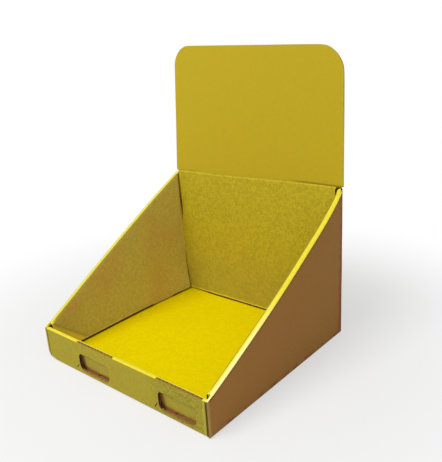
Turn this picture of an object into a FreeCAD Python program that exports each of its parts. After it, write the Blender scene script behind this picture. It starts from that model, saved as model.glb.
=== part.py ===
import FreeCAD, Part
import math
import os
from FreeCAD import Vector

# Cardboard display stand, in millimetres. X to the right, Y to the back, Z up.
# The origin is the centre of the tray's footprint, on its underside.
# The tray is one die-cut sheet whose four walls fold up and roll over into double walls.
# The header is a second sheet, whose tongue slides into the back wall.

# Driving dimensions of the tray
tray_width = 300.0
tray_depth = 287.0
back_height = 211.0
front_height = 47.0

board = 2.7
ply_clearance = 0.25
fold_radius = 2.2
fold_inner_radius = 0.15

front_top_gap = 0.4
front_foot_gap = 4.8
corner_gap = 1.3
floor_gap = 2.0

relief_radius = 2.0
relief_inset = 1.85
relief_depth = 10.0
roll_end_gap = 2.4

flap_length = 70.0
flap_corner_radius = 12.0

lock_tab_width = 42.0
lock_tab_taper = 3.0
lock_tab_radius = 1.0
lock_tab_recess = 0.3
lock_tab_spacing = 140.0
lock_slot_clearance = 0.35

# Driving dimensions of the two locks on the front
front_lock_pitch = 148.5
front_lock_offset = 30.8
slot_length = 72.0
slot_drop = 1.4

window_width = 60.0
window_height = 26.2
window_sill = 4.4
window_shift = -4.4
window_top_radius = 6.0
window_bottom_radius = 11.0

nick_length = 8.0
nick_width = 1.1
nick_lean = 39.0
nick_gap = 4.6
nick_height = 9.8

# Driving dimensions of the header
header_width = 302.0
header_rise = 188.0
header_shift = 2.6
header_corner_radius = 30.0
header_lean = 2.9
header_bend_radius = 160.0
shoulder_clearance = 0.25
shoulder_corner_radius = 0.8

tongue_width = 226.0
tongue_depth = 85.0
tongue_taper = 14.0
tongue_corner_radius = 6.0
tongue_side_clearance = 3.0

# Values that follow from them
half_width = tray_width / 2
half_depth = tray_depth / 2
ply_gap = board + 2 * ply_clearance
wall = 2 * board + ply_gap
front_top = 2 * board + front_top_gap
front_foot = 2 * board + front_foot_gap
side_front = -half_depth + front_top + corner_gap
side_back = half_depth - wall - corner_gap
panel_half = half_width - board - ply_clearance
slope = (back_height - front_height) / tray_depth
slope_angle = math.atan(slope)
inner_bottom = board + floor_gap


def rounded_face(points, radii):
    """Flat face through the points, each corner rounded by its own radius."""
    corners = []
    count = len(points)
    for i, corner in enumerate(points):
        if radii[i] == 0:
            corners.append((corner, corner, None))
            continue
        back = points[i - 1].sub(corner).normalize()
        ahead = points[(i + 1) % count].sub(corner).normalize()
        half_turn = back.getAngle(ahead) / 2
        reach = radii[i] / math.tan(half_turn)
        bisector = (back + ahead).normalize()
        depth = radii[i] / math.sin(half_turn) - radii[i]
        corners.append((corner + back * reach, corner + ahead * reach, corner + bisector * depth))
    edges = []
    for i, (first, last, middle) in enumerate(corners):
        if middle is not None:
            edges.append(Part.Arc(first, middle, last).toShape())
        following = corners[(i + 1) % count][0]
        edges.append(Part.LineSegment(last, following).toShape())
    return Part.Face(Part.Wire(edges))


def block(x0, x1, y0, y1, z0, z1):
    """Upright block between two corners."""
    return Part.makeBox(x1 - x0, y1 - y0, z1 - z0, Vector(x0, y0, z0))


def side_prism(outline, radii, x0, x1):
    """Shape seen from the side as (y, z) points, from x0 to x1."""
    face = rounded_face([Vector(x0, y, z) for y, z in outline], radii)
    return face.extrude(Vector(x1 - x0, 0, 0))


def front_prism(outline, radii, y0, y1):
    """Shape seen from the front as (x, z) points, from y0 to y1."""
    face = rounded_face([Vector(x, y0, z) for x, z in outline], radii)
    return face.extrude(Vector(0, y1 - y0, 0))


def place(shape, turn):
    """Move a piece drawn with its outer face on Y = 0 to the wall that lies at this turn."""
    reach = half_depth if turn in (0, 180) else half_width
    placed = shape.copy()
    placed.translate(Vector(0, -reach, 0))
    placed.rotate(Vector(0, 0, 0), Vector(0, 0, 1), turn)
    return placed


def mirrored(shape):
    """The same piece on the other side of the middle plane."""
    return shape.mirror(Vector(0, 0, 0), Vector(1, 0, 0))


# Front and back walls, drawn with the outer face on Y = 0 and the inside towards +Y

def rolled_wall(height, top, foot):
    """Outer panel, top strip and inner panel of a rolled-over wall, up from the floor's fold.

    The wall is as thick as top at its upper end and as foot at the floor."""
    section = [
        (2 * board, 0),
        (0, 0),
        (0, height),
        (top, height),
        (foot, inner_bottom),
        (foot - board, inner_bottom),
        (top - board, height - board),
        (board, height - board),
        (board, board),
        (2 * board, board),
    ]
    outer = fold_radius
    inner = fold_inner_radius
    radii = [0, outer, outer, outer, 0, 0, inner, inner, inner, 0]
    shape = side_prism(section, radii, -panel_half, panel_half)
    inner_half = half_width - wall - corner_gap
    below_strip = height - board
    beside = block(inner_half, 2 * half_width, top - board, 2 * foot, board, below_strip)
    return shape.cut(beside).cut(mirrored(beside))


def corner_flap(height, fall):
    """Flap that turns in from the right end of the outer panel, inside the side wall."""
    plan = [
        Vector(panel_half - 2 * board, 0, 0),
        Vector(panel_half, 0, 0),
        Vector(panel_half, flap_length, 0),
        Vector(panel_half - board, flap_length, 0),
        Vector(panel_half - board, board, 0),
        Vector(panel_half - 2 * board, board, 0),
    ]
    folded = rounded_face(plan, [0, fold_radius, 0, 0, fold_inner_radius, 0])
    folded = folded.extrude(Vector(0, 0, height))
    top = height - (board + ply_clearance) / math.cos(slope_angle)
    outline = [
        (0, inner_bottom),
        (flap_length, inner_bottom),
        (flap_length, top - fall * flap_length),
        (0, top),
    ]
    radii = [0, flap_corner_radius, flap_corner_radius, 0]
    return folded.common(side_prism(outline, radii, 0, half_width))


def with_flaps(shape, height, fall):
    """The wall, its outer panel turned into a corner flap at each end."""
    top = height - (board + ply_clearance) / math.cos(slope_angle)
    square_end = block(panel_half - board, half_width, -board, board, inner_bottom, top)
    flap = corner_flap(height, fall)
    shape = shape.cut(square_end).cut(mirrored(square_end))
    return shape.fuse([flap, mirrored(flap)])


def lock_centres():
    """Places of the two locks along the front wall."""
    return [front_lock_offset - front_lock_pitch / 2, front_lock_offset + front_lock_pitch / 2]


def front_lock_cuts(x):
    """Slot in the top strip, window in the outer panel and nick beside it, at one lock."""
    reach = slot_length / 2
    above = front_height + board
    slot = block(x - reach, x + reach, -board, front_top - board, front_height - slot_drop, above)
    gap = block(x - reach, x + reach, board, front_top - board, front_height - 2 * board, above)
    left = x + window_shift - window_width / 2
    right = left + window_width
    low = window_sill
    high = window_sill + window_height
    outline = [(left, low), (right, low), (right, high), (left, high)]
    radii = [window_bottom_radius, window_bottom_radius, window_top_radius, window_top_radius]
    window = front_prism(outline, radii, -board, board + front_top_gap / 2)
    nick = block(-nick_width / 2, nick_width / 2, -board, board, -nick_length / 2, nick_length / 2)
    nick.rotate(Vector(0, 0, 0), Vector(0, 1, 0), nick_lean)
    nick.translate(Vector(left - nick_gap, 0, nick_height))
    return [slot, gap, window, nick]


def front_wall():
    """Low front wall with its two locks."""
    shape = with_flaps(rolled_wall(front_height, front_top, front_foot), front_height, 0)
    for x in lock_centres():
        shape = shape.cut(front_lock_cuts(x))
    return place(shape, 0)


def back_wall():
    """High back wall, whose top strip is slotted for the header's tongue."""
    shape = with_flaps(rolled_wall(back_height, wall, wall), back_height, slope)
    reach = tongue_width / 2 + tongue_side_clearance
    low = back_height - board - fold_inner_radius
    above = back_height + board
    slot = block(-reach, reach, board, wall - board, low, above)
    end = block(panel_half - roll_end_gap, half_width, board, 2 * wall, back_height - 2 * board, above)
    return place(shape.cut([slot, end, mirrored(end)]), 180)


# Side walls, drawn on the right

def slope_z(y):
    """Height of the side walls' upper line at depth y."""
    return front_height + (y + half_depth) * slope


def under_slope(y0, y1, z0, drop, x0, x1):
    """Panel between two depths, from z0 up to a line that runs drop below the slope."""
    lift = -drop / math.cos(slope_angle)
    outline = [(y0, z0), (y1, z0), (y1, slope_z(y1) + lift), (y0, slope_z(y0) + lift)]
    return side_prism(outline, [0] * 4, x0, x1)


def slope_strip():
    """Strip along the slope with a fold at each side, where the side wall rolls over."""
    along = Vector(0, math.cos(slope_angle), math.sin(slope_angle))
    up = Vector(0, -math.sin(slope_angle), math.cos(slope_angle))
    across = Vector(1, 0, 0)
    start = Vector(half_width, -half_depth, front_height) - along * tray_depth
    section = [
        (0, -2 * board),
        (0, 0),
        (-wall, 0),
        (-wall, -2 * board),
        (-wall + board, -2 * board),
        (-wall + board, -board),
        (-board, -board),
        (-board, -2 * board),
    ]
    outer = fold_radius
    inner = fold_inner_radius
    points = [start + across * x + up * z for x, z in section]
    face = rounded_face(points, [0, outer, outer, 0, 0, inner, inner, 0])
    strip = face.extrude(along * (3 * tray_depth))
    keep = block(0, tray_width, side_front, side_back, 0, 2 * back_height)
    return strip.common(keep)


def outer_side():
    """Outer side panel, over the whole depth, with its fold up from the floor."""
    inner = half_width - board
    high = 3 * board
    fold = [
        (inner - board, 0),
        (half_width, 0),
        (half_width, high),
        (inner, high),
        (inner, board),
        (inner - board, board),
    ]
    radii = [0, fold_radius, 0, 0, fold_inner_radius, 0]
    foot = front_prism(fold, radii, -half_depth, half_depth)
    for y in (-half_depth, half_depth):
        foot = foot.cut(block(0, inner, y - board, y + board, -board, 2 * board))
    panel = under_slope(-half_depth, half_depth, high, 0, inner, half_width)
    rolled = under_slope(side_front, side_back, 0, 0, inner, half_width)
    rolled = rolled.cut(under_slope(side_front, side_back, 0, board, inner, half_width))
    return foot.fuse(panel.cut(rolled))


def inner_side():
    """Inner side panel, hung from the strip along the slope."""
    x0 = half_width - wall
    return under_slope(side_front, side_back, inner_bottom, 2 * board, x0, x0 + board)


def side_wall():
    """Right side wall: outer panel, rolled-over strip and inner panel."""
    return outer_side().fuse([slope_strip(), inner_side()])


# Floor and the tabs that lock the inner panels into it

def lock_tab(centre, foot):
    """Tab below the inner panel of a wall whose thickness at the floor is foot."""
    top = lock_tab_width / 2
    end = top - lock_tab_taper
    low = lock_tab_recess
    outline = [(-end, low), (end, low), (top, inner_bottom), (-top, inner_bottom)]
    radii = [lock_tab_radius, lock_tab_radius, 0, 0]
    shape = front_prism(outline, radii, foot - board, foot)
    shape.translate(Vector(centre, 0, 0))
    return shape


def lock_slot(centre, foot):
    """Slot in the floor for one locking tab."""
    reach = lock_tab_width / 2 + lock_slot_clearance
    y0 = foot - board - lock_slot_clearance
    y1 = foot + lock_slot_clearance
    return block(centre - reach, centre + reach, y0, y1, -board, inner_bottom)


def floor_panel():
    """Floor of the tray."""
    x = half_width - board
    y = half_depth - board
    return block(-x, x, -y, y, 0, board)


def corner_relief():
    """Round hole where the front's strip meets the right side's."""
    low = front_height - relief_depth
    centre = Vector(panel_half - relief_inset, -half_depth + front_top, low)
    return Part.makeCylinder(relief_radius, 2 * relief_depth, centre)


def tray():
    """The tray, folded up from one sheet."""
    side = side_wall()
    relief = corner_relief()
    shape = floor_panel().fuse([front_wall(), back_wall(), side, mirrored(side)])
    shape = shape.cut([relief, mirrored(relief)])
    tabs = []
    for turn, foot in ((0, front_foot), (90, wall), (180, wall), (270, wall)):
        for centre in (-lock_tab_spacing / 2, lock_tab_spacing / 2):
            shape = shape.cut(place(lock_slot(centre, foot), turn))
            tabs.append(place(lock_tab(centre, foot), turn))
    return shape.fuse(tabs).removeSplitter()


# Header

def header_profile():
    """Header seen from the side: upright tongue, then a slight bend backwards."""
    lean = math.radians(header_lean)
    centre_y = half_depth - wall / 2
    bend_z = back_height + shoulder_clearance
    bend_centre = Vector(0, centre_y + header_bend_radius, bend_z)
    low = back_height - tongue_depth
    straight = header_rise / math.cos(lean)

    def face_points(offset):
        radius = header_bend_radius + offset
        foot = Vector(0, centre_y - offset, low)
        start = Vector(0, centre_y - offset, bend_z)
        points = [foot, start]
        for part in (0.5, 1.0):
            way = Vector(0, -math.cos(lean * part), math.sin(lean * part))
            points.append(bend_centre + way * radius)
        points.append(points[-1] + Vector(0, math.sin(lean), math.cos(lean)) * straight)
        return points

    front = face_points(board / 2)
    back = face_points(-board / 2)
    edges = [
        Part.LineSegment(front[0], front[1]),
        Part.Arc(front[1], front[2], front[3]),
        Part.LineSegment(front[3], front[4]),
        Part.LineSegment(front[4], back[4]),
        Part.LineSegment(back[4], back[3]),
        Part.Arc(back[3], back[2], back[1]),
        Part.LineSegment(back[1], back[0]),
        Part.LineSegment(back[0], front[0]),
    ]
    return Part.Face(Part.Wire([edge.toShape() for edge in edges]))


def header_outline():
    """Header seen from the front: rounded top corners, shoulders and a tapered tongue."""
    side = header_width / 2
    top = back_height + header_rise
    shoulder = back_height + shoulder_clearance
    low = back_height - tongue_depth
    tongue = tongue_width / 2
    outline = [
        (-side, shoulder),
        (-tongue, shoulder),
        (-tongue, low + 2 * tongue_taper),
        (-tongue + tongue_taper, low),
        (tongue - tongue_taper, low),
        (tongue, low + 2 * tongue_taper),
        (tongue, shoulder),
        (side, shoulder),
        (side, top),
        (-side, top),
    ]
    foot = tongue_corner_radius
    heel = shoulder_corner_radius
    top_radius = header_corner_radius
    radii = [heel, heel, foot, foot, foot, foot, heel, heel, top_radius, top_radius]
    return front_prism(outline, radii, -half_depth, 2 * half_depth)


def header_card():
    """The header: one sheet, its tongue in the back wall."""
    profile = header_profile()
    profile.translate(Vector(-header_width, 0, 0))
    sheet = profile.extrude(Vector(2 * header_width, 0, 0))
    card = sheet.common(header_outline())
    card.translate(Vector(header_shift, 0, 0))
    return card


def write(shape, name):
    """Write one node and print what it is."""
    solids = shape.Solids
    print(name, "solids", len(solids), "valid", shape.isValid(), "volume", round(shape.Volume))
    solid = solids[0] if len(solids) == 1 else Part.makeCompound(solids)
    solid.exportStep("parts/" + name + ".step")


os.makedirs("parts", exist_ok=True)
write(tray(), "tray")
write(header_card(), "header_card")
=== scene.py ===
import math
import bmesh
import bpy
from mathutils import Matrix, Vector
from mathutils.bvhtree import BVHTree
from mathutils.noise import noise


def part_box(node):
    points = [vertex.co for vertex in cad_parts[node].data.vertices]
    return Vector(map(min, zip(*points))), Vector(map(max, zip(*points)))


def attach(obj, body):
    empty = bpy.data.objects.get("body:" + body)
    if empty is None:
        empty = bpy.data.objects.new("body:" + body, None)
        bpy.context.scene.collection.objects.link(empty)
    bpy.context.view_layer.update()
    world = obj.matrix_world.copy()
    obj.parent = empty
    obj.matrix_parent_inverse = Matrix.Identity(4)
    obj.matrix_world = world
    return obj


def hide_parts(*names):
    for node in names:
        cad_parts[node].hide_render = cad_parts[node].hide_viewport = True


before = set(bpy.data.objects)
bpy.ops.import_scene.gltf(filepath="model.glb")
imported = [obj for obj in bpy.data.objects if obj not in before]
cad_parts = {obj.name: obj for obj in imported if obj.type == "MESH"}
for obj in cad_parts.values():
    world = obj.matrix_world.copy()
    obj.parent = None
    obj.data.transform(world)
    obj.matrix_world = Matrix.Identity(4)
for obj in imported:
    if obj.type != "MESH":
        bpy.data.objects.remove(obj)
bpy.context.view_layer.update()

# Sizes in metres, read from the frame where it gives them
tray_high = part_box("tray")[1]
header_low, header_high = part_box("header_card")
half_width = tray_high[0]
half_depth = tray_high[1]
back_height = tray_high[2]
front_height = 0.047
board = 0.0027
wall = 0.0086
front_top = 0.0058
front_fold = 0.0023
ply_clearance = 0.00025
floor_gap = 0.0020
slope = (back_height - front_height) / (2 * half_depth)

# The slight deformations of the folded board, as the photograph shows it
left_bow = 0.0052
right_bow = 0.0080
header_twist = 0.0078
header_skew = 0.0032
back_lift = 0.0050
back_spread = 0.0012
header_spread = 0.0008
header_crush = 0.0022
foot_curl = 0.0065
foot_bulge = 0.0010
foot_gap = 0.0022
left_foot_rise = 0.0012
back_foot_rise = 0.0006
groove_width = 0.0004
end_open = 0.0034
end_close = 0.0020
right_close = 0.0011
corner_crush = 0.0035
ripple = 0.00035
ripple_scale = 22
header_ripple_scale = 9

# How the bow is spread along a side, how much of the lift the side takes, how far a crush reaches
bow_skew = 1.25
bow_fullness = 0.6
side_lift = 0.12
corner_reach = 0.011
header_crush_reach = 0.045

# The windows of the front's two locks
window_lefts = (-0.07785, 0.07065)
window_sill = 0.0044

# Where the rolls of the sides and the back end, and how far they reach in the photograph
side_roll_end = half_depth - wall - 0.0013
side_roll_reach = half_depth - board - ply_clearance
back_roll_end = half_width - board - ply_clearance - 0.0024
left_back_reach = half_width - wall - 0.0012
right_back_reach = half_width - wall - 0.0004

# The locking tabs of the inner panels, from the middle outwards
tab_start = 0.049
tab_width = 0.042
tab_stub = 0.01

# The leaning panels' normals, from the front wall's spread foot and the header's lean
front_foot = 0.0102
front_lean = Vector((0, front_height, front_foot - front_top)).normalized()
header_angle = math.radians(2.9)
header_lean = Vector((0, math.cos(header_angle), -math.sin(header_angle)))

# How a cut edge is told from a printed face
probe_depth = 0.00002
board_spread = 0.0002
seam = 0.0003
one_plane = 0.9995
edge_slant = 0.3
least_share = 0.6

# How finely the skins are welded and cut along x, y and z, and where their shading breaks
weld = 1e-6
tray_slices = (20, 36, 24)
header_slices = 16
sharp_angle = math.radians(32)

# The groove at the right front corner starts here and reaches its width over this run
groove_start = half_width - 0.0059
groove_run = 0.0020

# The slanting line on the left inner panel, with painted light below it and a painted shade line
# along it: its slope and its height at the front
mark_slope = 0.82
mark_height = 0.0572

# One wave of the board's flutes and the share of the thickness that it swings either way
flute_pitch = 0.0065
wave_height = 0.30

# The camera that took the photograph
image_width = 442
image_height = 462
sensor = 36.0
camera_azimuth = 41.150
camera_elevation = 18.767
camera_roll = -3.644
focal_pixels = 580.7
camera_place = Vector((0.5150, -0.5222, 0.4165))


def linear(red, green, blue):
    """A colour given in 8-bit sRGB as the linear colour that shaders take."""
    def channel(value):
        share = value / 255.0
        if share <= 0.04045:
            return share / 12.92
        return ((share + 0.055) / 1.055) ** 2.4
    return (channel(red), channel(green), channel(blue), 1.0)


# Colours as painted, before the light falls on them. The board is one yellow, though: the front,
# inner, left, recess and header yellows are that yellow set darker and duller as painted shade, for
# panels that stand in shade.
INNER_YELLOW = (182, 163, 28)
LEFT_YELLOW = (200, 180, 84)
FLOOR_YELLOW = (229, 208, 0)
FRONT_YELLOW = (168, 151, 40)
STRIP_YELLOW = (228, 212, 52)
STRIP_INNER = (156, 138, 32)
STRIP_HIGHLIGHT_CREAM = (248, 238, 160)
HEADER_YELLOW = (180, 157, 24)
SIDE_BROWN = (158, 111, 48)
KRAFT = (150, 103, 62)
HIDDEN_KRAFT_AND_SHADE = (142, 102, 52)
RECESS_OLIVE = (176, 160, 54)
RECESS_SHADE_BROWN = (150, 92, 52)
WORN_RED = (138, 66, 46)
SIDE_PATCH = (150, 96, 48)
GAP_SHADE_DARK = (92, 60, 16)

# Cut edges as paper, light paper and the painted shade of the flutes' hollows
WAVED_EDGE = ((162, 134, 58), (192, 164, 84), (98, 76, 28))
PLAIN_EDGE = ((112, 82, 42), (150, 116, 66), (40, 27, 10))
HEADER_EDGE = ((196, 172, 92), (216, 194, 124), (150, 124, 58))


# Nodes of the materials

def new_material(name):
    """An empty node material and its tree."""
    material = bpy.data.materials.new(name)
    material.use_nodes = True
    material.node_tree.nodes.clear()
    return material, material.node_tree


def add(tree, kind, **settings):
    """A new node with its settings."""
    node = tree.nodes.new(kind)
    for key, value in settings.items():
        setattr(node, key, value)
    return node


def noise_field(tree, place, scale, detail, stretch=(1, 1, 1)):
    """Noise in object space, stretched along an axis where asked."""
    mapping = add(tree, "ShaderNodeMapping")
    mapping.inputs["Scale"].default_value = stretch
    tree.links.new(place, mapping.inputs["Vector"])
    field = add(tree, "ShaderNodeTexNoise")
    field.inputs["Scale"].default_value = scale
    field.inputs["Detail"].default_value = detail
    tree.links.new(mapping.outputs["Vector"], field.inputs["Vector"])
    return field.outputs["Fac"]


def math_node(tree, operation, first, second=0):
    """A sum, product or the like of two sockets or numbers, or a function of the first."""
    node = add(tree, "ShaderNodeMath", operation=operation)
    for slot_index, value in enumerate((first, second)):
        if isinstance(value, (int, float)):
            node.inputs[slot_index].default_value = value
        else:
            tree.links.new(value, node.inputs[slot_index])
    return node.outputs[0]


def remap(tree, value, low, high, to_low, to_high):
    """Value between low and high, spread smoothly over a new range."""
    node = add(tree, "ShaderNodeMapRange", interpolation_type="SMOOTHSTEP")
    tree.links.new(value, node.inputs["Value"])
    ranges = {"From Min": low, "From Max": high, "To Min": to_low, "To Max": to_high}
    for name, number in ranges.items():
        node.inputs[name].default_value = number
    return node.outputs["Result"]


def mix_colour(tree, share, first, second):
    """Mix of two colours or sockets."""
    node = add(tree, "ShaderNodeMix", data_type="RGBA")
    for name, value in (("Factor", share), ("A", first), ("B", second)):
        socket = [s for s in node.inputs if s.name == name and s.enabled][0]
        if isinstance(value, (int, float, tuple)):
            socket.default_value = value
        else:
            tree.links.new(value, socket)
    return [s for s in node.outputs if s.enabled][0]


def board_shader(tree, colour, height, roughness, specular=0.2):
    """Matt printed board with a bump from height."""
    shader = add(tree, "ShaderNodeBsdfPrincipled")
    shader.inputs["Specular IOR Level"].default_value = specular
    tree.links.new(colour, shader.inputs["Base Color"])
    tree.links.new(roughness, shader.inputs["Roughness"])
    bump = add(tree, "ShaderNodeBump")
    bump.inputs["Strength"].default_value = 0.35
    bump.inputs["Distance"].default_value = 0.0006
    tree.links.new(height, bump.inputs["Height"])
    tree.links.new(bump.outputs["Normal"], shader.inputs["Normal"])
    output = add(tree, "ShaderNodeOutputMaterial")
    tree.links.new(shader.outputs["BSDF"], output.inputs["Surface"])


def printed_board(name, base, patch_tint, mottle=0.07, patches=0.10, specular=0.2):
    """Printed liner: fine mottling, faint large patches, fibres and a faint trace of the flutes."""
    material, tree = new_material(name)
    place = add(tree, "ShaderNodeTexCoord").outputs["Object"]
    fine = noise_field(tree, place, 560, 3)
    medium = noise_field(tree, place, 210, 3)
    large = noise_field(tree, place, 11, 2)
    dark = linear(*[channel * (1 - mottle) for channel in base])
    light = linear(*[min(255, channel * (1 + mottle * 0.6)) for channel in base])
    grain = math_node(tree, "ADD", math_node(tree, "MULTIPLY", fine, 0.6),
                      math_node(tree, "MULTIPLY", medium, 0.4))
    colour = mix_colour(tree, remap(tree, grain, 0.32, 0.68, 0.0, 1.0), dark, light)
    tint_share = remap(tree, large, 0.42, 0.70, 0.0, patches)
    colour = mix_colour(tree, tint_share, colour, linear(*patch_tint))
    flutes = noise_field(tree, place, 150, 1, (1, 1, 0.02))
    fibres = noise_field(tree, place, 900, 2, (1, 1, 0.35))
    height = math_node(tree, "ADD", math_node(tree, "MULTIPLY", flutes, 0.5),
                       math_node(tree, "MULTIPLY", fibres, 0.35))
    roughness = remap(tree, medium, 0.3, 0.7, 0.62, 0.82)
    board_shader(tree, colour, height, roughness, specular)
    return material


class PaintedMarks:
    """Marks painted over a printed board: real wear, and painted light and shade.

    They are placed by the object's own coordinates, or by where the flat board was."""

    def __init__(self, material):
        self.tree = material.node_tree
        self.shader = [node for node in self.tree.nodes if node.type == "BSDF_PRINCIPLED"][0]
        self.place = add(self.tree, "ShaderNodeTexCoord").outputs["Object"]
        split = add(self.tree, "ShaderNodeSeparateXYZ")
        self.tree.links.new(self.place, split.inputs[0])
        self.x, self.y, self.z = split.outputs
        rest = add(self.tree, "ShaderNodeSeparateXYZ")
        flat = add(self.tree, "ShaderNodeUVMap", uv_map="rest")
        self.tree.links.new(flat.outputs["UV"], rest.inputs[0])
        self.rest_x, self.rest_z = rest.outputs[0], rest.outputs[1]

    def ragged(self, value, scale, depth):
        """The value, shifted by noise up to the depth either way."""
        rough = math_node(self.tree, "SUBTRACT", noise_field(self.tree, self.place, scale, 3), 0.5)
        shift = math_node(self.tree, "MULTIPLY", rough, 2 * depth)
        return math_node(self.tree, "ADD", value, shift)

    def step(self, value, low, high):
        """Share that goes smoothly from 0 at low to 1 at high."""
        if low < high:
            return remap(self.tree, value, low, high, 0.0, 1.0)
        return remap(self.tree, value, high, low, 1.0, 0.0)

    def both(self, *shares):
        """Product of shares."""
        product = shares[0]
        for share in shares[1:]:
            product = math_node(self.tree, "MULTIPLY", product, share)
        return product

    def blend(self, value, low, middle, high):
        """Share that rises to 1 at middle and falls again."""
        return self.both(self.step(value, low, middle), self.step(value, high, middle))

    def paint(self, colour, *shares):
        """Mix a colour over what the board already shows, by the product of the shares."""
        share = self.both(*shares)
        socket = self.shader.inputs["Base Color"]
        below = socket.links[0].from_socket
        self.tree.links.new(mix_colour(self.tree, share, below, linear(*colour)), socket)


def recess_board():
    """Inner panel behind the windows: painted shade in brown along each window's left and lower
    edge.
    """
    material = printed_board("recess_board", RECESS_OLIVE, (150, 112, 58))
    marks = PaintedMarks(material)
    low = marks.ragged(marks.z, 260, 0.0032)
    # Painted shade in brown along the windows' sills, and in the loop along each window's left
    # edge.
    marks.paint(RECESS_SHADE_BROWN, marks.step(low, window_sill + 0.0044, window_sill + 0.0024), 0.85)
    for left in window_lefts:
        beside = math_node(marks.tree, "SUBTRACT", marks.ragged(marks.x, 300, 0.002), left + 0.002)
        band = marks.both(marks.step(beside, -0.006, -0.005), marks.step(beside, 0.0045, 0.0), 0.85)
        marks.paint(RECESS_SHADE_BROWN, band)
    return material


def left_board():
    """Left inner panel: reddish patches, painted light in the corner at the front with a painted
    shade line along its edge, a painted highlight rim at the front of the foot, painted shade in
    the seams at the back and a painted shade line along the foot.
    """
    material = printed_board("left_board", LEFT_YELLOW, (200, 138, 72), mottle=0.09, patches=0.35)
    marks = PaintedMarks(material)
    run = math_node(marks.tree, "MULTIPLY", marks.y, mark_slope)
    level = math_node(marks.tree, "ADD", run, marks.z)
    line = -half_depth * mark_slope + mark_height
    # Painted light below the slanting line in the front corner, and a painted shade line along it.
    marks.paint((244, 220, 60), marks.step(level, line, line - 0.006), 0.8)
    marks.paint((120, 96, 40), marks.blend(level, line - 0.0012, line + 0.0004, line + 0.0022), 0.35)
    # Painted highlight: a pale ragged rim at the front of the panel's foot.
    rim = marks.ragged(marks.z, 200, 0.001)
    marks.paint((226, 200, 112), marks.step(rim, 0.0088, 0.0074), marks.step(marks.y, 0.05, -0.03), 0.6)
    # Painted shade in the gap behind the back wall's inner panel and along the back corner, high
    # and low.
    behind = marks.step(marks.y, half_depth - wall - 0.0003, half_depth - wall + 0.0004)
    marks.paint(GAP_SHADE_DARK, behind, 0.95)
    by_back = marks.step(marks.y, half_depth - wall - 0.0032, half_depth - wall - 0.0022)
    marks.paint((116, 76, 18), by_back, marks.step(marks.z, 0.120, 0.165), 0.9)
    marks.paint(GAP_SHADE_DARK, by_back, marks.step(marks.z, 0.045, 0.030), 0.9)
    # Painted shade line along the panel's foot, where the gap to the floor is.
    marks.paint((128, 100, 40), marks.step(marks.z, 0.0056, 0.0050), 0.8)
    return material


def inner_board():
    """Inside of the back and the right: greyer low down, with a ragged painted highlight as a
    bright rim above the floor and a painted shade line at the foot.
    """
    material = printed_board("inner_board", INNER_YELLOW, (190, 146, 36), mottle=0.11)
    marks = PaintedMarks(material)
    rim = marks.ragged(marks.z, 160, 0.002)
    marks.paint((150, 136, 70), marks.step(marks.z, 0.12, 0.02), 0.25)
    # Painted highlight as a bright ragged rim above the foot, and a painted shade line at the foot.
    marks.paint((232, 212, 60), marks.step(rim, 0.0084, 0.0068), 0.6)
    marks.paint((128, 96, 34), marks.step(marks.z, 0.0052, 0.0046), 0.8)
    return material


def front_board():
    """Outer front panel: a pale chipped lower fold, a mottled right part, a painted highlight
    before the right end, a light brown cut edge at the right end and painted dark shade in the
    groove at the right corner.
    """
    material = printed_board("front_board", FRONT_YELLOW, (150, 146, 52), mottle=0.08, patches=0.25)
    marks = PaintedMarks(material)
    marks.paint((146, 134, 38), marks.step(marks.x, 0.045, 0.085), 0.55)
    clouds = noise_field(marks.tree, marks.place, 340, 3)
    right_part = marks.step(marks.x, 0.05, 0.075)
    marks.paint((118, 106, 26), marks.step(clouds, 0.50, 0.62), right_part, 0.45)
    marks.paint((182, 168, 58), marks.step(clouds, 0.48, 0.36), right_part, 0.45)
    # Painted highlight on the band before the right end's fold.
    marks.paint((184, 172, 66), marks.step(marks.x, 0.1400, 0.1425), marks.step(marks.x, 0.1452, 0.1445),
               0.5)
    marks.paint((152, 122, 64), marks.step(marks.x, 0.1468, 0.1472))
    # Painted shade, dark, in the groove at the right corner.
    marks.paint((84, 62, 20), marks.step(marks.x, 0.1446, 0.1454), marks.step(marks.x, 0.1486, 0.1480),
               0.9)
    marks.paint((196, 188, 112), marks.step(marks.z, 0.0022, 0.0010), 0.5)
    chips = noise_field(marks.tree, marks.place, 150, 2)
    marks.paint((96, 72, 30), marks.step(chips, 0.60, 0.66), marks.step(marks.z, 0.0022, 0.0012), 0.8)
    return material


def side_board():
    """Outer faces in kraft: the right side has reddish worn patches at its back edge and low down,
    and painted shade just below the top strip.
    """
    material = printed_board("side_board", SIDE_BROWN, SIDE_PATCH, mottle=0.04)
    marks = PaintedMarks(material)
    edge = marks.ragged(marks.y, 90, 0.005)
    by_corner = marks.step(marks.rest_x, half_width - 0.010, half_width - 0.004)
    marks.paint(WORN_RED, marks.step(edge, half_depth - 0.013, half_depth - 0.003), by_corner, 0.75)
    # Painted shade, dark, in a band just below the top strip's fold.
    rise = math_node(marks.tree, "MULTIPLY", marks.y, slope)
    rest_top = math_node(marks.tree, "ADD", rise, front_height + half_depth * slope)
    below_top = math_node(marks.tree, "SUBTRACT", rest_top, marks.z)
    marks.paint((96, 60, 20), marks.step(below_top, 0.0042, 0.0022), 0.7)
    marks.paint((176, 142, 74), marks.step(marks.y, -half_depth + 0.0028, -half_depth + 0.0018), 0.7)
    spots = noise_field(marks.tree, marks.place, 60, 3)
    low = marks.both(marks.step(marks.z, 0.010, 0.002), marks.step(spots, 0.50, 0.60))
    marks.paint(WORN_RED, low, by_corner, 0.75)
    return material


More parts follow.
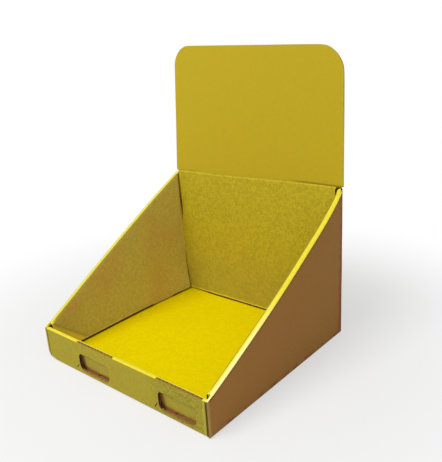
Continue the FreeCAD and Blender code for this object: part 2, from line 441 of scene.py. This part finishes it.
def strip_board():
    """Folded strips along the walls' tops: the right one with a creamy painted highlight, the left
    one pale.

    Their inner parts carry painted shade in the panels' colour, and the right one ends below a
    painted dark arc of shade."""
    material = printed_board("strip_board", STRIP_YELLOW, (236, 226, 100), mottle=0.05)
    marks = PaintedMarks(material)
    from_middle = math_node(marks.tree, "ABSOLUTE", marks.rest_x)
    from_inside = math_node(marks.tree, "SUBTRACT", from_middle, half_width - wall)
    share = math_node(marks.tree, "DIVIDE", from_inside, wall)
    on_sides = marks.step(share, -0.02, 0.02)
    right = marks.step(marks.x, -0.01, 0.01)
    left = marks.step(marks.x, 0.01, -0.01)
    # Painted highlight, creamy, along the right strip's outer part.
    marks.paint(STRIP_HIGHLIGHT_CREAM, right, marks.step(share, 0.35, 0.65), marks.step(marks.y, 0.00, -0.09),
               0.8)
    behind_front = marks.step(marks.y, -half_depth + 0.006, -half_depth + 0.016)
    marks.paint((208, 203, 98), left, marks.step(share, 0.2, 0.5), behind_front, 0.8)
    marks.paint((206, 202, 122), left, marks.step(share, 0.6, 0.9), behind_front, 0.8)
    marks.paint((238, 214, 186), left, on_sides,
               marks.step(marks.y, half_depth - 0.011, half_depth - 0.005), 0.8)
    # Painted shade on the strips' inner parts, in the panels' darker colour.
    inner = marks.both(on_sides, behind_front)
    marks.paint(STRIP_INNER, inner, right, marks.step(share, 0.30, 0.20))
    marks.paint(STRIP_INNER, inner, left, marks.step(share, 0.30, 0.18))
    # Painted shade as a dark arc at the right strip's back end.
    squared = math_node(marks.tree, "MULTIPLY", share, share)
    bulge = math_node(marks.tree, "MULTIPLY", squared, 0.0045)
    past = math_node(marks.tree, "SUBTRACT", marks.y, bulge)
    marks.paint((52, 36, 14), on_sides, right, marks.step(past, 0.1384, 0.1390))
    return material


def cut_edge(name, waved, colours):
    """Cut edge of the board: two liners and, between them, the flute's wave and its hollows,
    painted dark as shade.
    """
    paper, light_paper, hollow_shade_tint = colours
    material, tree = new_material(name)
    uv = add(tree, "ShaderNodeUVMap", uv_map="edge").outputs["UV"]
    split = add(tree, "ShaderNodeSeparateXYZ")
    tree.links.new(uv, split.inputs[0])
    along, across = split.outputs[0], split.outputs[1]
    place = add(tree, "ShaderNodeTexCoord").outputs["Object"]
    fibre = noise_field(tree, place, 800, 3)
    wander = math_node(tree, "MULTIPLY", math_node(tree, "SUBTRACT", fibre, 0.5), 0.16)
    turns = math_node(tree, "MULTIPLY", along, 2 * math.pi / flute_pitch)
    wave = math_node(tree, "MULTIPLY", math_node(tree, "SINE", turns), wave_height)
    middle = math_node(tree, "ADD", wave, 0.5)
    offset = math_node(tree, "ADD", math_node(tree, "SUBTRACT", across, middle), wander)
    from_wave = math_node(tree, "ABSOLUTE", offset)
    on_wave = remap(tree, from_wave, 0.07, 0.15, 1.0, 0.0)
    from_middle = math_node(tree, "ABSOLUTE", math_node(tree, "SUBTRACT", across, 0.5))
    on_liner = remap(tree, math_node(tree, "ADD", from_middle, wander), 0.33, 0.41, 0.0, 1.0)
    solid = math_node(tree, "MAXIMUM", on_wave, on_liner) if waved else on_liner
    shown_paper = mix_colour(tree, fibre, linear(*paper), linear(*light_paper))
    # The flutes' hollows are painted dark as shade.
    shaded_hollow = mix_colour(tree, fibre, linear(*hollow_shade_tint), linear(*[c * 1.5 for c in hollow_shade_tint]))
    colour = mix_colour(tree, solid, shaded_hollow, shown_paper)
    roughness = remap(tree, fibre, 0.3, 0.7, 0.8, 0.95)
    board_shader(tree, colour, solid, roughness)
    return material


# Skins: the frame's own meshes, cut fine enough to bend and sorted into painted zones

def copy_mesh(node):
    """Welded copy of a node's mesh."""
    work = bmesh.new()
    work.from_mesh(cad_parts[node].data)
    bmesh.ops.remove_doubles(work, verts=work.verts, dist=weld)
    return work


def split_at(work, axis, value):
    """Cut the mesh by one plane."""
    point = Vector((0, 0, 0))
    point[axis] = value
    direction = Vector((0, 0, 0))
    direction[axis] = 1
    geometry = work.verts[:] + work.edges[:] + work.faces[:]
    bmesh.ops.bisect_plane(work, geom=geometry, plane_co=point, plane_no=direction, dist=weld)


def slice_along(work, axis, low, high, count):
    """Cut the mesh by evenly spaced planes, so that it can bend."""
    for i in range(1, count):
        split_at(work, axis, low + (high - low) * i / count)


def room(solid, start, direction):
    """How far the board reaches from a point inside it."""
    distance = solid.ray_cast(start, direction, 1.0)[3]
    return 1.0 if distance is None else distance


def thickness_way(solid, group):
    """Where a group is a cut edge: the way across its thickness and the thickness's foot on it.

    A cut edge is one board wide across one of the folded panels' normals."""
    face = max(group, key=lambda part: part.calc_area())
    start = face.calc_center_median() - face.normal * probe_depth
    panel_ways = [Vector((1, 0, 0)), Vector((0, 1, 0)), Vector((0, 0, 1)),
                  Vector((0, -slope, 1)).normalized(), front_lean, header_lean]
    for way in panel_ways:
        if abs(way.dot(face.normal)) > edge_slant:
            continue
        ahead = room(solid, start, way)
        behind = room(solid, start, -way)
        reaches = [vert.co.dot(way) for part in group for vert in part.verts]
        wide = max(reaches) - min(reaches) > least_share * board
        if wide and abs(ahead + behind - board) < board_spread:
            return way, start.dot(way) - behind
    return None


def flat_groups(faces):
    """Groups of joined faces that lie in one plane."""
    left = set(faces)
    while left:
        seed = left.pop()
        group = [seed]
        for face in group:
            for edge in face.edges:
                for other in edge.link_faces:
                    if other in left and other.normal.dot(seed.normal) > one_plane:
                        left.remove(other)
                        group.append(other)
        yield group


def mark_cut_edge(group, uv, across, low, waved, plain):
    """Edge coordinates for the cut-edge material: metres along, share of the thickness across.

    Flutes run up the walls, so only edges that lie across them show the wave."""
    along = group[0].normal.cross(across).normalized()
    for face in group:
        for loop in face.loops:
            point = loop.vert.co
            loop[uv].uv = (point.dot(along), (point.dot(across) - low) / board)
        face.material_index = plain if abs(along.z) > 0.7 else waved


ZONES = ["inner_board", "left_board", "floor_board", "front_board", "side_board", "strip_board",
         "recess_board", "cut_board_waved", "cut_board_plain", "hidden_board"]
UNSORTED = len(ZONES)


def tray_zone(centre, normal):
    """Painted zone of a face of the tray that isn't a cut edge."""
    x, y, z = centre
    top = front_height + (y + half_depth) * slope
    in_side = abs(x) > half_width - wall + seam
    in_front = y < -half_depth + front_foot - seam
    in_back = y > half_depth - wall + seam
    strip_depth = board * 0.9
    outside = [abs(x) > half_width - seam and abs(normal.x) > 0.5,
               y > half_depth - seam and normal.y > 0.5, z < seam]
    if any(outside):
        return "side_board"
    if y < -half_depth + seam and normal.y < -0.5:
        return "front_board"
    if in_side and top - z < strip_depth and normal.z > 0.3:
        return "strip_board"
    at_corner = y < -half_depth + front_fold and abs(x) > half_width - 2 * board
    if at_corner and (x < 0 or normal.y < -0.15):
        return "front_board"
    on_front = y < -half_depth + front_top + seam
    if on_front and z > front_height - strip_depth and normal.z > -0.1:
        return "strip_board"
    if in_back and z > back_height - strip_depth:
        return "inner_board"
    if y < -half_depth + front_foot and normal.y < -0.5:
        return "recess_board"
    if in_side or in_back or in_front and z < 2 * board:
        return "hidden_board"
    if normal.z > 0.7 and z < 2 * board:
        return "floor_board"
    return "left_board" if x < -half_width + wall + board else "inner_board"


def smooth_step(value, low, high):
    """Share that goes smoothly from 0 at low to 1 at high."""
    share = min(1.0, max(0.0, (value - low) / (high - low)))
    return share * share * (3 - 2 * share)


def side_bow(x, y, z):
    """Outward bow of the side walls, most at the middle of the slope and none at the floor."""
    along = min(1.0, max(0.0, (y + half_depth) / (2 * half_depth)))
    top = front_height + (back_height - front_height) * along
    rise = min(1.0, max(0.0, (z - 2 * board) / top))
    beside = smooth_step(abs(x), half_width - 4 * wall, half_width - 1.1 * wall)
    most = right_bow if x > 0 else left_bow
    spread = back_spread * smooth_step(along, 0.5, 1.0) if x > 0 else 0.0
    bow = most * math.sin(math.pi * along ** bow_skew) ** bow_fullness
    return (bow + spread) * rise * beside


def end_shift(x, y, z):
    """How far an end of the back's inner panel stands off its place.

    The left end is open at the top and closed lower down, the right end is closed."""
    on_end = smooth_step(abs(x), half_width - wall - 2 * board, half_width - wall - board * 0.5)
    if y < half_depth - wall - seam or abs(x) > half_width - wall - seam:
        return 0.0
    if x > 0:
        return right_close * on_end
    opening = -end_open * smooth_step(z, 0.125, 0.200)
    closing = end_close * smooth_step(z, 0.02, 0.05) * (1 - smooth_step(z, 0.115, 0.140))
    return (opening + closing) * on_end


def top_lift(x, z):
    """Rise of the back wall's upper edge towards the right end."""
    across = smooth_step(x, -0.6 * half_width, 0.8 * half_width)
    return back_lift * across * smooth_step(z, 0.5 * back_height, back_height)


def lift_share(x, y):
    """Share of that rise: all of it on the back wall, less on the side wall's end."""
    if abs(x) < half_width - wall - seam:
        return smooth_step(y, half_depth - wall - board, half_depth - wall)
    if y > half_depth - board - seam and abs(x) < half_width - board:
        return 1.0
    return side_lift * smooth_step(y, half_depth - 2 * wall, half_depth - board)


def foot_shift(x, y, z):
    """How far the left inner panel's lower edge stands off its wall, most at its back end."""
    from_panel = abs(x + half_width - wall + board / 2)
    on_panel = 1 - smooth_step(from_panel, board * 0.55, board * 0.75)
    near_end = max(0.0, y / (half_depth - wall)) ** 1.6
    curl = foot_curl * (1 - smooth_step(z, 0.008, 0.055))
    bulge = foot_bulge * (1 - smooth_step(z, 0.055, 0.120))
    return on_panel * min(1.0, near_end) * (curl + bulge)


def bend_tray(point):
    """The tray as it stands: bowed sides, a lifted back edge, a curled foot, a crushed corner."""
    x, y, z = point
    along_side = math.copysign(side_bow(x, y, z) + end_shift(x, y, z), x) + foot_shift(x, y, z)
    wave = ripple * noise(Vector((x, y, z)) * ripple_scale) * min(1.0, z / 0.02)
    lift = top_lift(x, z) * lift_share(x, y)
    from_corner = Vector((x + half_width, y + half_depth, z)).length
    crush = corner_crush * (1 - smooth_step(from_corner, 0.0, corner_reach))
    return Vector((x + along_side + wave + crush, y, z + lift + crush))


def bend_header(point):
    """The header as it stands: slightly twisted and skewed, with a softened right top corner."""
    x, y, z = point
    rise = max(0.0, z - back_height) / (header_high[2] - back_height)
    twist = -header_twist * (x / half_width) * rise
    wave = 2 * ripple * noise(Vector((x, 0, z)) * header_ripple_scale) * rise
    skew = -header_skew * (x / half_width) * rise
    lift = top_lift(x, min(z, back_height)) * (1 - smooth_step(rise, 0.1, 0.9))
    spread = header_spread * smooth_step(x, 0.0, header_high[0]) * (1 - rise)
    from_corner = math.hypot(header_high[0] - x, header_high[2] - z)
    crush = header_crush * (1 - smooth_step(from_corner, 0.0, header_crush_reach))
    return Vector((x + spread - crush, y + twist + wave, z + skew + lift - crush))


def finish_skin(work, name, node, materials, bend):
    """Bend the work mesh, make an object of it and let it stand for its node.

    The flat places of its points stay in the UV map "rest" for the materials."""
    rest = work.loops.layers.uv.new("rest")
    for face in work.faces:
        for loop in face.loops:
            loop[rest].uv = (loop.vert.co.x, loop.vert.co.z)
    for vert in work.verts:
        vert.co = bend(vert.co)
    bmesh.ops.triangulate(work, faces=[face for face in work.faces if len(face.verts) > 4])
    mesh = bpy.data.meshes.new(name)
    work.to_mesh(mesh)
    work.free()
    for material in materials:
        mesh.materials.append(material)
    mesh.polygons.foreach_set("use_smooth", [True] * len(mesh.polygons))
    mesh.set_sharp_from_angle(angle=sharp_angle)
    skin = bpy.data.objects.new(name, mesh)
    bpy.context.scene.collection.objects.link(skin)
    even = skin.modifiers.new("even_shading", "WEIGHTED_NORMAL")
    even.keep_sharp = True
    even.weight = 100
    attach(skin, "root")
    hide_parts(node)


def shorten_tabs(work):
    """Draw in two locking tabs, on the left and the back, where the photograph shows a gap."""
    for vert in work.verts:
        if not (0.0001 < vert.co.z < 2 * board and vert.co.x < 0):
            continue
        for across, along in ((0, 1), (1, 0)):
            inner_face = (half_width if across == 0 else half_depth) - wall
            on_tab = inner_face - seam < abs(vert.co[across]) < inner_face + board + seam
            beside = tab_start - seam < -vert.co[along] < tab_start + tab_width + seam
            in_view = across == 0 or vert.co.y > 0
            if on_tab and beside and in_view and abs(vert.co.z - board) > seam:
                vert.co[along] = -tab_start + (vert.co[along] + tab_start) * tab_stub


def loosen_edges(work):
    """Widen the gaps under the left and the back inner panel and the right front groove."""
    near = 0.0001
    for vert in work.verts:
        x, y, z = vert.co
        if abs(z - board - floor_gap) < near:
            into_left = -half_width + wall - x
            into_back = y - half_depth + wall
            if -near < into_left < board + near and abs(y) < half_depth - wall:
                vert.co.z += left_foot_rise
            elif -near < into_back < board + near and abs(x) < half_width - wall:
                vert.co.z += back_foot_rise
        if groove_start < x < half_width - board - near and y < -half_depth + front_fold:
            vert.co.x -= groove_width * min(1.0, (x - groove_start) / groove_run)


def close_back_corners(work):
    """Let the sides' rolls run to the back's outer panel and its strip end between them.

    Low down, the left inner panel ends in front of the back and leaves a gap."""
    near = 1e-5
    run = side_roll_reach - side_roll_end
    for vert in work.verts:
        x, y, z = vert.co
        at_strip_end = abs(abs(x) - back_roll_end) < near and y > side_roll_end
        if abs(y - side_roll_end) < near and abs(x) > half_width - wall - near:
            reach = run * smooth_step(z, 0.060, 0.110)
            if x < 0:
                reach -= foot_gap * (1 - smooth_step(z, 0.020, 0.060))
            rise = run * slope if z > back_height - 4 * board else 0.0
            vert.co = Vector((x, y + reach, z + rise))
        elif at_strip_end and z > back_height - 3 * board:
            vert.co.x = right_back_reach if x > 0 else -left_back_reach


def build_tray(materials):
    """The tray's skin, sorted into zones and bent."""
    work = copy_mesh("tray")
    uv = work.loops.layers.uv.new("edge")
    solid = BVHTree.FromBMesh(work)
    waved, plain = ZONES.index("cut_board_waved"), ZONES.index("cut_board_plain")
    for group in list(flat_groups(work.faces)):
        cut = thickness_way(solid, group)
        centre = group[0].calc_center_median()
        in_front = group[0].normal.y < -0.9 and centre.y < -half_depth + seam
        if cut and not (in_front and abs(centre.x) > half_width - board):
            mark_cut_edge(group, uv, *cut, waved, plain)
            continue
        for face in group:
            face.material_index = UNSORTED
    split_at(work, 1, -half_depth + front_foot - board / 2)
    for face in work.faces:
        if face.material_index == UNSORTED:
            face.material_index = ZONES.index(tray_zone(face.calc_center_median(), face.normal))
    shorten_tabs(work)
    loosen_edges(work)
    slice_along(work, 2, 0.0, back_height, tray_slices[2])
    close_back_corners(work)
    slice_along(work, 0, -half_width, half_width, tray_slices[0])
    slice_along(work, 1, -half_depth, half_depth, tray_slices[1])
    finish_skin(work, "folded_tray", "tray", materials, bend_tray)


def build_header(materials):
    """The header's skin: the printed face, the plain back and the cut edges."""
    work = copy_mesh("header_card")
    uv = work.loops.layers.uv.new("edge")
    solid = BVHTree.FromBMesh(work)
    printed, waved, plain, back = range(4)
    for group in list(flat_groups(work.faces)):
        cut = thickness_way(solid, group)
        if cut:
            mark_cut_edge(group, uv, *cut, waved, plain)
    for face in work.faces:
        if face.material_index == printed and face.normal.y > 0.3:
            face.material_index = back
    slice_along(work, 2, back_height, header_high[2], header_slices)
    slice_along(work, 0, header_low[0], header_high[0], header_slices)
    finish_skin(work, "bent_header", "header_card", materials, bend_header)


# Stage, light and camera

floor_reach = 6.0
floor_paper = (0.7, 0.7, 0.7, 1)
floor_glow = 0.55
glow_near = 0.22
glow_far = 0.62
world_strength = 0.45


def make_floor():
    """Pale floor that shows near white to the camera and keeps the shadow, dark under the tray."""
    mesh = bpy.data.meshes.new("floor")
    corners = [(-floor_reach, -floor_reach, 0), (floor_reach, -floor_reach, 0),
               (floor_reach, floor_reach, 0), (-floor_reach, floor_reach, 0)]
    mesh.from_pydata(corners, [], [(0, 1, 2, 3)])
    floor = bpy.data.objects.new("floor", mesh)
    bpy.context.scene.collection.objects.link(floor)
    material, tree = new_material("pale_floor")
    ray = add(tree, "ShaderNodeLightPath")
    seen = math_node(tree, "MAXIMUM", ray.outputs["Is Camera Ray"], ray.outputs["Is Glossy Ray"])
    place = add(tree, "ShaderNodeTexCoord").outputs["Object"]
    distance = add(tree, "ShaderNodeVectorMath", operation="LENGTH")
    tree.links.new(place, distance.inputs[0])
    far = remap(tree, distance.outputs["Value"], glow_near, glow_far, floor_glow, 1.0)
    split = add(tree, "ShaderNodeSeparateXYZ")
    tree.links.new(place, split.inputs[0])
    beyond = []
    for axis, half in ((0, half_width), (1, half_depth)):
        from_middle = math_node(tree, "ABSOLUTE", split.outputs[axis])
        beyond.append(math_node(tree, "GREATER_THAN", from_middle, half - wall))
    uncovered = math_node(tree, "MAXIMUM", *beyond)
    paper = add(tree, "ShaderNodeBsdfDiffuse")
    paper.inputs["Color"].default_value = floor_paper
    glow = add(tree, "ShaderNodeEmission")
    blend = add(tree, "ShaderNodeMixShader")
    glowing = math_node(tree, "MULTIPLY", math_node(tree, "MULTIPLY", seen, far), uncovered)
    tree.links.new(glowing, blend.inputs[0])
    tree.links.new(paper.outputs[0], blend.inputs[1])
    tree.links.new(glow.outputs[0], blend.inputs[2])
    output = add(tree, "ShaderNodeOutputMaterial")
    tree.links.new(blend.outputs[0], output.inputs["Surface"])
    mesh.materials.append(material)


def area_light(name, place, target, size, power):
    """Square soft light, aimed at a point."""
    data = bpy.data.lights.new(name, "AREA")
    data.size = size
    data.energy = power
    light = bpy.data.objects.new(name, data)
    bpy.context.scene.collection.objects.link(light)
    light.location = place
    light.rotation_euler = (Vector(target) - Vector(place)).to_track_quat("-Z", "Y").to_euler()


def make_world(strength):
    """Even pale light from all round, seen as white by the camera."""
    world = bpy.data.worlds.new("studio")
    bpy.context.scene.world = world
    world.use_nodes = True
    tree = world.node_tree
    tree.nodes.clear()
    ray = add(tree, "ShaderNodeLightPath")
    seen = math_node(tree, "MAXIMUM", ray.outputs["Is Camera Ray"], ray.outputs["Is Glossy Ray"])
    background = add(tree, "ShaderNodeBackground")
    background.inputs["Color"].default_value = (1, 1, 1, 1)
    level = math_node(tree, "ADD", math_node(tree, "MULTIPLY", seen, 1 - strength), strength)
    tree.links.new(level, background.inputs["Strength"])
    output = add(tree, "ShaderNodeOutputWorld")
    tree.links.new(background.outputs[0], output.inputs["Surface"])


def make_camera():
    """Camera at the photograph's place, angle and field of view."""
    azimuth = math.radians(camera_azimuth)
    elevation = math.radians(camera_elevation)
    roll = math.radians(camera_roll)
    back = Vector((math.sin(azimuth) * math.cos(elevation),
                   -math.cos(azimuth) * math.cos(elevation),
                   math.sin(elevation)))
    right = Vector((0, 0, 1)).cross(back).normalized()
    up = back.cross(right)
    rolled_right = right * math.cos(roll) + up * math.sin(roll)
    rolled_up = up * math.cos(roll) - right * math.sin(roll)
    data = bpy.data.cameras.new("photo_camera")
    data.sensor_width = sensor
    data.lens = focal_pixels * sensor / max(image_width, image_height)
    camera = bpy.data.objects.new("photo_camera", data)
    bpy.context.scene.collection.objects.link(camera)
    turn = Matrix((rolled_right, rolled_up, back)).transposed()
    camera.matrix_world = Matrix.Translation(camera_place) @ turn.to_4x4()
    bpy.context.scene.camera = camera


def tray_materials():
    """The tray's zones in their order."""
    return [
        inner_board(),
        left_board(),
        printed_board("floor_board", FLOOR_YELLOW, (222, 198, 0), mottle=0.04, specular=0.02),
        front_board(),
        side_board(),
        strip_board(),
        recess_board(),
        cut_edge("cut_board_waved", True, WAVED_EDGE),
        cut_edge("cut_board_plain", False, PLAIN_EDGE),
        # Hidden faces between the plies in plain kraft, which also darkens the gaps between them as
        # painted shade.
        printed_board("hidden_board", HIDDEN_KRAFT_AND_SHADE, KRAFT),
    ]


def header_face():
    """Printed faces of the header, with a painted shade line where the right part meets the back
    wall.
    """
    material = printed_board("header_board_face", HEADER_YELLOW, (180, 154, 26),
                             mottle=0.02, patches=0.05)
    marks = PaintedMarks(material)
    # Painted shade as a dark line along the header's base on the right part.
    low = marks.step(marks.rest_z, back_height + 0.0030, back_height + 0.0016)
    marks.paint((116, 90, 20), low, marks.step(marks.rest_x, 0.06, 0.10), 0.6)
    return material


def header_materials():
    """The header's printed face, its two kinds of cut edge and its plain back."""
    return [
        header_face(),
        cut_edge("header_cut_waved", True, HEADER_EDGE),
        cut_edge("header_cut_plain", False, HEADER_EDGE),
        printed_board("header_back", SIDE_BROWN, SIDE_PATCH, mottle=0.04),
    ]


build_tray(tray_materials())
build_header(header_materials())

make_floor()
make_world(world_strength)
area_light("key", place=(-0.35, -1.25, 2.1), target=(0, 0, 0.12), size=1.3, power=42)
area_light("fill", place=(1.6, -1.6, 1.2), target=(0, 0, 0.15), size=1.6, power=9)
make_camera()

bpy.context.scene.view_settings.view_transform = "Standard"
